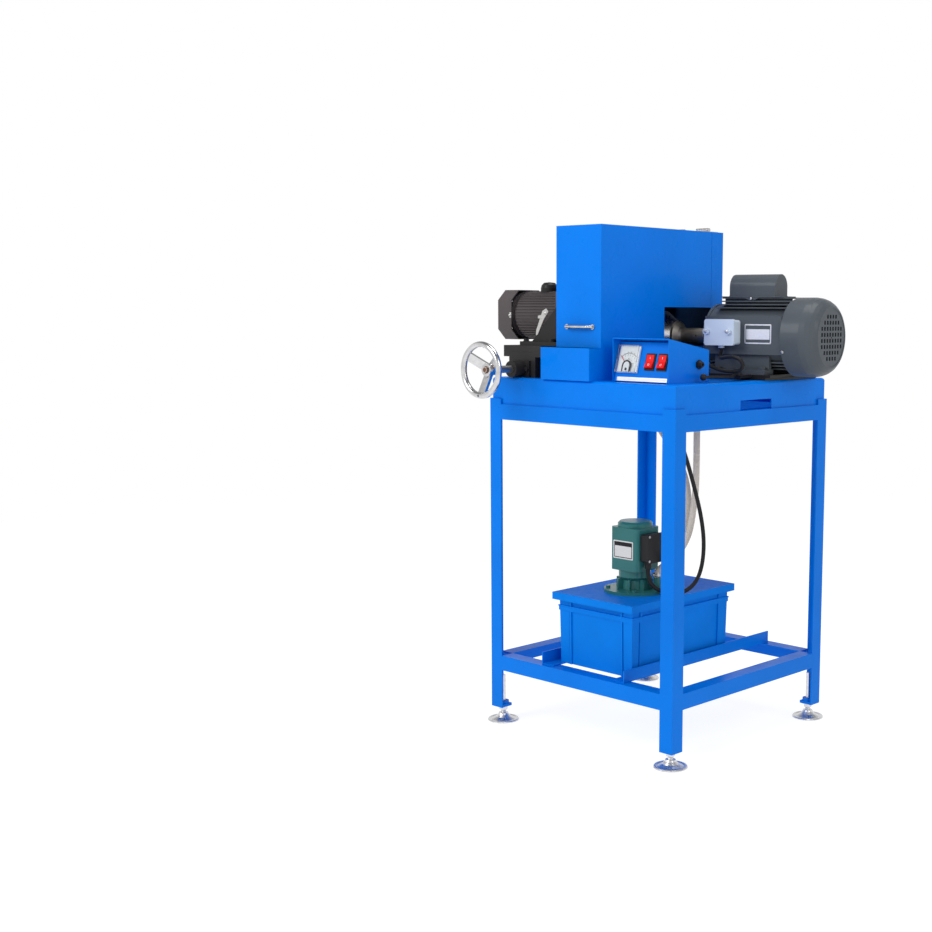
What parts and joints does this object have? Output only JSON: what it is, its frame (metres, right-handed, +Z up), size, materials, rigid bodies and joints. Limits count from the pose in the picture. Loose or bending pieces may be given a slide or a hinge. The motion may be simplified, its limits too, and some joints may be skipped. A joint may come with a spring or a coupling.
{
  "type": "wet grinding sharpener",
  "caption": "Wet grinding sharpener for circular blades: steel stand, hooded blade spindle on a cross slide, cup-wheel motor, control box and coolant tank with pump.",
  "frame": {"origin": "middle of the bounding box's footprint, on the floor", "axes": "+X to the right along the front, +Y to the back, +Z up"},
  "size_m": [0.8004, 0.7264, 1.2543],
  "materials": {
    "frame_blue": "gloss",
    "sheet_blue": "gloss",
    "black_steel": "satin",
    "slide_black": "satin",
    "gear_grey": "matte",
    "motor_grey": "satin",
    "cover_grey": "satin",
    "terminal_grey": "satin",
    "bright_steel": "satin",
    "chrome": "polished",
    "turned_alu": "satin",
    "abrasive": "matte",
    "crate_blue": "satin",
    "pump_teal": "satin",
    "pump_iron": "satin",
    "black_plastic": "satin",
    "black_rubber": "matte",
    "red_plastic": "gloss",
    "meter_white": "gloss",
    "clear": "clear",
    "clear_hose": "gloss",
    "hose_blue": "gloss",
    "nozzle_orange": "gloss"
  },
  "bodies": {
    "stand": {"leg_angles": "frame_blue", "upper_rails": "frame_blue", "lower_rails": "frame_blue", "bed_pan": "sheet_blue", "splash_basin": "sheet_blue", "rear_guard": "sheet_blue", "hinge_frame_leaves": "bright_steel", "control_box": "sheet_blue", "control_panel": "sheet_blue", "ammeter_case": "meter_white", "ammeter_window": "clear", "rocker_bezels": "black_plastic", "box_gland": "black_plastic", "slide_base": "slide_black", "screw_bearing": "slide_black", "swivel_base": "black_steel", "coolant_hose": "hose_blue", "supply_hose": "clear_hose", "return_hose": "clear_hose", "pump_lead": "black_rubber", "motor_lead": "black_rubber", "tank_body": "crate_blue", "tank_lid": "crate_blue", "pump_flange": "pump_iron", "pump_motor": "pump_teal", "pump_junction_box": "black_plastic"},
    "foot fl": {"foot_front_left": "chrome"},
    "foot fr": {"foot_front_right": "chrome"},
    "foot rl": {"foot_rear_left": "chrome"},
    "foot rr": {"foot_rear_right": "chrome"},
    "hood": {"hood": "sheet_blue", "hood_handle": "chrome", "hinge_hood_leaves": "bright_steel"},
    "carriage": {"saddle": "slide_black", "head_bracket": "black_steel", "head_plate": "black_steel", "gearmotor_body": "gear_grey", "gearmotor_fan_cover": "black_plastic", "head_fittings": "black_plastic"},
    "spindle": {"spindle": "bright_steel", "blade": "bright_steel", "blade_clamp": "turned_alu", "blade_screw": "black_steel"},
    "feed screw": {"lead_screw": "bright_steel", "handwheel": "chrome"},
    "grinder": {"motor_plate": "black_steel", "motor_body": "motor_grey", "motor_cowl": "cover_grey", "capacitor_cover": "cover_grey", "terminal_box": "terminal_grey"},
    "rotor": {"rotor_shaft": "bright_steel", "wheel_adapter": "bright_steel", "cup_wheel": "turned_alu", "abrasive_ring": "abrasive"},
    "lever": {"lock_lever": "black_steel"},
    "nozzle": {"coolant_nozzle": "nozzle_orange"},
    "pump rotor": {"pump_rotor": "bright_steel"},
    "rocker left": {"rocker_left": "red_plastic"},
    "rocker right": {"rocker_right": "red_plastic"},
    "needle": {"needle": "red_plastic"}
  },
  "joints": [
    {"name": "foot_fl_screw", "type": "slide", "parent": "stand", "child": "foot fl", "axis": [0, 0, -1], "range_m": [0, 0.02]},
    {"name": "foot_fr_screw", "type": "slide", "parent": "stand", "child": "foot fr", "axis": [0, 0, -1], "range_m": [0, 0.02]},
    {"name": "foot_rl_screw", "type": "slide", "parent": "stand", "child": "foot rl", "axis": [0, 0, -1], "range_m": [0, 0.02]},
    {"name": "foot_rr_screw", "type": "slide", "parent": "stand", "child": "foot rr", "axis": [0, 0, -1], "range_m": [0, 0.02]},
    {"name": "hood_hinge", "type": "hinge", "parent": "stand", "child": "hood", "pos_m": [-0.04316, 0.20025, 1.2493], "axis": [-1, 0, 0], "range_deg": [0, 95]},
    {"name": "cross_slide", "type": "slide", "parent": "stand", "child": "carriage", "axis": [0, 1, 0], "range_m": [0, 0.125]},
    {"name": "handwheel_spin", "type": "hinge", "parent": "stand", "child": "feed screw", "pos_m": [-0.23516, -0.25575, 0.901], "axis": [0, 1, 0], "range_deg": [0, 9000]},
    {"name": "spindle_spin", "type": "hinge", "parent": "carriage", "child": "spindle", "pos_m": [-0.09616, -0.08075, 1.033], "axis": [1, 0, 0], "continuous": true},
    {"name": "motor_swivel", "type": "hinge", "parent": "stand", "child": "grinder", "pos_m": [0.17483, 0.17716, 0.886], "axis": [0, 0, 1], "range_deg": [-2, 4]},
    {"name": "wheel_spin", "type": "hinge", "parent": "grinder", "child": "rotor", "pos_m": [0.00609, 0.15644, 0.983], "axis": [0.9925, 0.1219, 0], "continuous": true},
    {"name": "lever_turn", "type": "hinge", "parent": "grinder", "child": "lever", "pos_m": [0.22665, 0.05053, 0.893], "axis": [0, 0, 1], "range_deg": [0, 45]},
    {"name": "nozzle_swivel", "type": "hinge", "parent": "stand", "child": "nozzle", "pos_m": [-0.05416, 0.10825, 1.138], "axis": [0, 0, 1], "range_deg": [-20, 20]},
    {"name": "pump_spin", "type": "hinge", "parent": "stand", "child": "pump rotor", "pos_m": [0.01484, -0.07475, 0.391], "axis": [0, 0, 1], "continuous": true},
    {"name": "rocker_left_tilt", "type": "hinge", "parent": "stand", "child": "rocker left", "pos_m": [0.16734, -0.19865, 0.92688], "axis": [1, 0, 0], "range_deg": [0, 18]},
    {"name": "rocker_right_tilt", "type": "hinge", "parent": "stand", "child": "rocker right", "pos_m": [0.20384, -0.19865, 0.92688], "axis": [1, 0, 0], "range_deg": [0, 18]},
    {"name": "needle_swing", "type": "hinge", "parent": "stand", "child": "needle", "pos_m": [0.10184, -0.2073, 0.91781], "axis": [0, 0.9659, -0.2588], "range_deg": [0, 90], "stiffness_Nm_per_rad": 0.001, "springref_deg": -5.73}
  ],
  "couplings": [
    {"joint": "handwheel_spin", "follows": "cross_slide", "rad_per_m": 1256.6}
  ]
}
